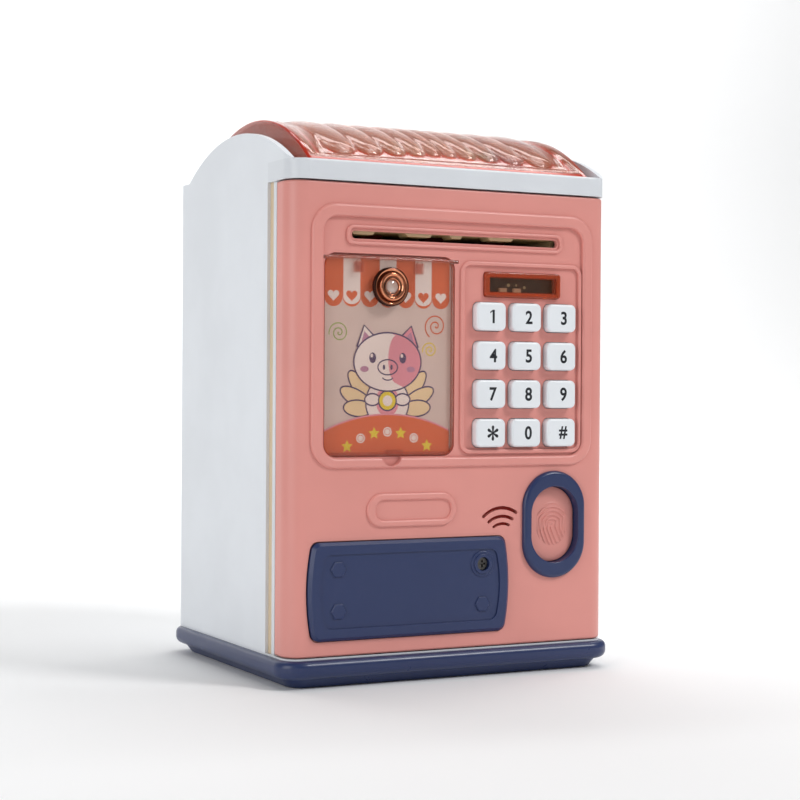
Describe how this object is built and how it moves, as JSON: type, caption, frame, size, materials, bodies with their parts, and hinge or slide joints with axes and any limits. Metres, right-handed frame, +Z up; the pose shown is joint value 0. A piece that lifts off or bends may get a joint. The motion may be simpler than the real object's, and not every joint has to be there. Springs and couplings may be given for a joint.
{
  "type": "toy cash machine savings bank",
  "caption": "Box-shaped toy cash machine money bank with a hinged keypad door, note feeder, fingerprint pad, picture window and lighted fluted roof.",
  "frame": {"origin": "middle of the footprint, on the surface the feet stand on", "axes": "+Z up, -Y out of the door face, +X to the right of someone facing the door"},
  "size_m": [0.136, 0.1136, 0.2049],
  "materials": {
    "white_shell": "moulded ABS, semi gloss",
    "reflector_white": "gloss white",
    "coral_plastic": "moulded ABS, satin",
    "module_cream": "plain moulded",
    "navy_plastic": "moulded ABS, semi gloss",
    "clear_orange": "clear tinted styrene, polished",
    "clear_cover": "clear styrene, polished",
    "copper_chrome": "plated, polished",
    "lens_clear": "polished",
    "key_white": "moulded, semi gloss",
    "black_plastic": "matt",
    "grey_rubber": "matt",
    "steel": "zinc plated",
    "circuit_board": "solder mask",
    "led_clear": "clear epoxy",
    "gear_white": "acetal",
    "printed_card": "printed, satin",
    "cell_wrap": "printed sleeve"
  },
  "bodies": {
    "housing": {"body_shell": "white_shell", "front_frame": "white_shell", "side_bands": "module_cream", "hinge_pins": "steel", "latch_keeper": "steel", "base_tray": "navy_plastic", "rubber_feet": "grey_rubber", "base_screws": "steel", "roof_cover": "clear_orange", "roof_reflector": "reflector_white", "roof_light_board": "circuit_board", "roof_leds": "led_clear"},
    "door": {"door_panel": "coral_plastic", "door_back_cover": "module_cream", "door_cover_screws": "steel", "keypad_mat": "grey_rubber", "keypad_board": "circuit_board", "display_window": "clear_orange", "display_board": "circuit_board", "display_leds": "led_clear", "fingerprint_ring": "navy_plastic", "fingerprint_switch": "circuit_board", "speaker": "black_plastic", "main_board": "circuit_board", "board_parts": "black_plastic", "picture_card": "printed_card", "scan_led": "led_clear", "battery_box": "black_plastic", "battery_cells": "cell_wrap", "battery_contacts": "steel", "feed_guide": "module_cream", "feed_motor": "steel", "lock_solenoid": "steel"},
    "picture_flap": {"picture_cover": "clear_cover", "lens_ring": "copper_chrome", "lens_glass": "lens_clear"},
    "battery_flap": {"battery_cover": "navy_plastic", "battery_screw": "steel"},
    "finger_pad": {"fingerprint_pad": "coral_plastic"},
    "drive_rollers": {"drive_shaft": "steel", "drive_tyres": "grey_rubber", "drive_gear": "gear_white"},
    "nip_rollers": {"nip_roller": "steel"},
    "idler": {"idler_gear": "gear_white"},
    "pinion": {"motor_pinion": "gear_white"},
    "latch": {"latch_bolt": "steel"},
    "key_1_cap": {"key_1": "key_white"},
    "key_2_cap": {"key_2": "key_white"},
    "key_3_cap": {"key_3": "key_white"},
    "key_4_cap": {"key_4": "key_white"},
    "key_5_cap": {"key_5": "key_white"},
    "key_6_cap": {"key_6": "key_white"},
    "key_7_cap": {"key_7": "key_white"},
    "key_8_cap": {"key_8": "key_white"},
    "key_9_cap": {"key_9": "key_white"},
    "key_star_cap": {"key_star": "key_white"},
    "key_0_cap": {"key_0": "key_white"},
    "key_hash_cap": {"key_hash": "key_white"}
  },
  "joints": [
    {"name": "door_hinge", "type": "hinge", "parent": "housing", "child": "door", "pos_m": [-0.0615, -0.0463, 0.0938], "axis": [0, 0, -1], "range_deg": [0, 105]},
    {"name": "latch_slide", "type": "slide", "parent": "door", "child": "latch", "axis": [1, 0, 0], "range_m": [0, 0.0042]},
    {"name": "picture_flap_hinge", "type": "hinge", "parent": "door", "child": "picture_flap", "pos_m": [-0.02625, -0.0531, 0.1506], "axis": [-1, 0, 0], "range_deg": [0, 75]},
    {"name": "battery_flap_hinge", "type": "hinge", "parent": "door", "child": "battery_flap", "pos_m": [-0.0586, -0.0545, 0.03375], "axis": [0, 0, -1], "range_deg": [0, 70]},
    {"name": "finger_press", "type": "slide", "parent": "door", "child": "finger_pad", "axis": [0, 1, 0], "range_m": [0, 0.001], "stiffness_N_per_m": 500, "springref_m": -0.0005},
    {"name": "drive_spin", "type": "hinge", "parent": "door", "child": "drive_rollers", "pos_m": [0, -0.0353, 0.163], "axis": [1, 0, 0], "continuous": true},
    {"name": "nip_spin", "type": "hinge", "parent": "door", "child": "nip_rollers", "pos_m": [0, -0.0353, 0.1554], "axis": [1, 0, 0], "continuous": true},
    {"name": "idler_spin", "type": "hinge", "parent": "door", "child": "idler", "pos_m": [0.0478, -0.0353, 0.1522], "axis": [1, 0, 0], "continuous": true},
    {"name": "pinion_spin", "type": "hinge", "parent": "door", "child": "pinion", "pos_m": [0.0478, -0.0353, 0.143], "axis": [1, 0, 0], "continuous": true},
    {"name": "key_1_press", "type": "slide", "parent": "door", "child": "key_1_cap", "axis": [0, 1, 0], "range_m": [0, 0.0012], "stiffness_N_per_m": 400, "springref_m": -0.0005},
    {"name": "key_2_press", "type": "slide", "parent": "door", "child": "key_2_cap", "axis": [0, 1, 0], "range_m": [0, 0.0012], "stiffness_N_per_m": 400, "springref_m": -0.0005},
    {"name": "key_3_press", "type": "slide", "parent": "door", "child": "key_3_cap", "axis": [0, 1, 0], "range_m": [0, 0.0012], "stiffness_N_per_m": 400, "springref_m": -0.0005},
    {"name": "key_4_press", "type": "slide", "parent": "door", "child": "key_4_cap", "axis": [0, 1, 0], "range_m": [0, 0.0012], "stiffness_N_per_m": 400, "springref_m": -0.0005},
    {"name": "key_5_press", "type": "slide", "parent": "door", "child": "key_5_cap", "axis": [0, 1, 0], "range_m": [0, 0.0012], "stiffness_N_per_m": 400, "springref_m": -0.0005},
    {"name": "key_6_press", "type": "slide", "parent": "door", "child": "key_6_cap", "axis": [0, 1, 0], "range_m": [0, 0.0012], "stiffness_N_per_m": 400, "springref_m": -0.0005},
    {"name": "key_7_press", "type": "slide", "parent": "door", "child": "key_7_cap", "axis": [0, 1, 0], "range_m": [0, 0.0012], "stiffness_N_per_m": 400, "springref_m": -0.0005},
    {"name": "key_8_press", "type": "slide", "parent": "door", "child": "key_8_cap", "axis": [0, 1, 0], "range_m": [0, 0.0012], "stiffness_N_per_m": 400, "springref_m": -0.0005},
    {"name": "key_9_press", "type": "slide", "parent": "door", "child": "key_9_cap", "axis": [0, 1, 0], "range_m": [0, 0.0012], "stiffness_N_per_m": 400, "springref_m": -0.0005},
    {"name": "key_star_press", "type": "slide", "parent": "door", "child": "key_star_cap", "axis": [0, 1, 0], "range_m": [0, 0.0012], "stiffness_N_per_m": 400, "springref_m": -0.0005},
    {"name": "key_0_press", "type": "slide", "parent": "door", "child": "key_0_cap", "axis": [0, 1, 0], "range_m": [0, 0.0012], "stiffness_N_per_m": 400, "springref_m": -0.0005},
    {"name": "key_hash_press", "type": "slide", "parent": "door", "child": "key_hash_cap", "axis": [0, 1, 0], "range_m": [0, 0.0012], "stiffness_N_per_m": 400, "springref_m": -0.0005}
  ],
  "couplings": [
    {"joint": "nip_spin", "follows": "drive_spin", "ratio": -1.25},
    {"joint": "idler_spin", "follows": "drive_spin", "ratio": -1.0769},
    {"joint": "pinion_spin", "follows": "drive_spin", "ratio": 1.4}
  ]
}
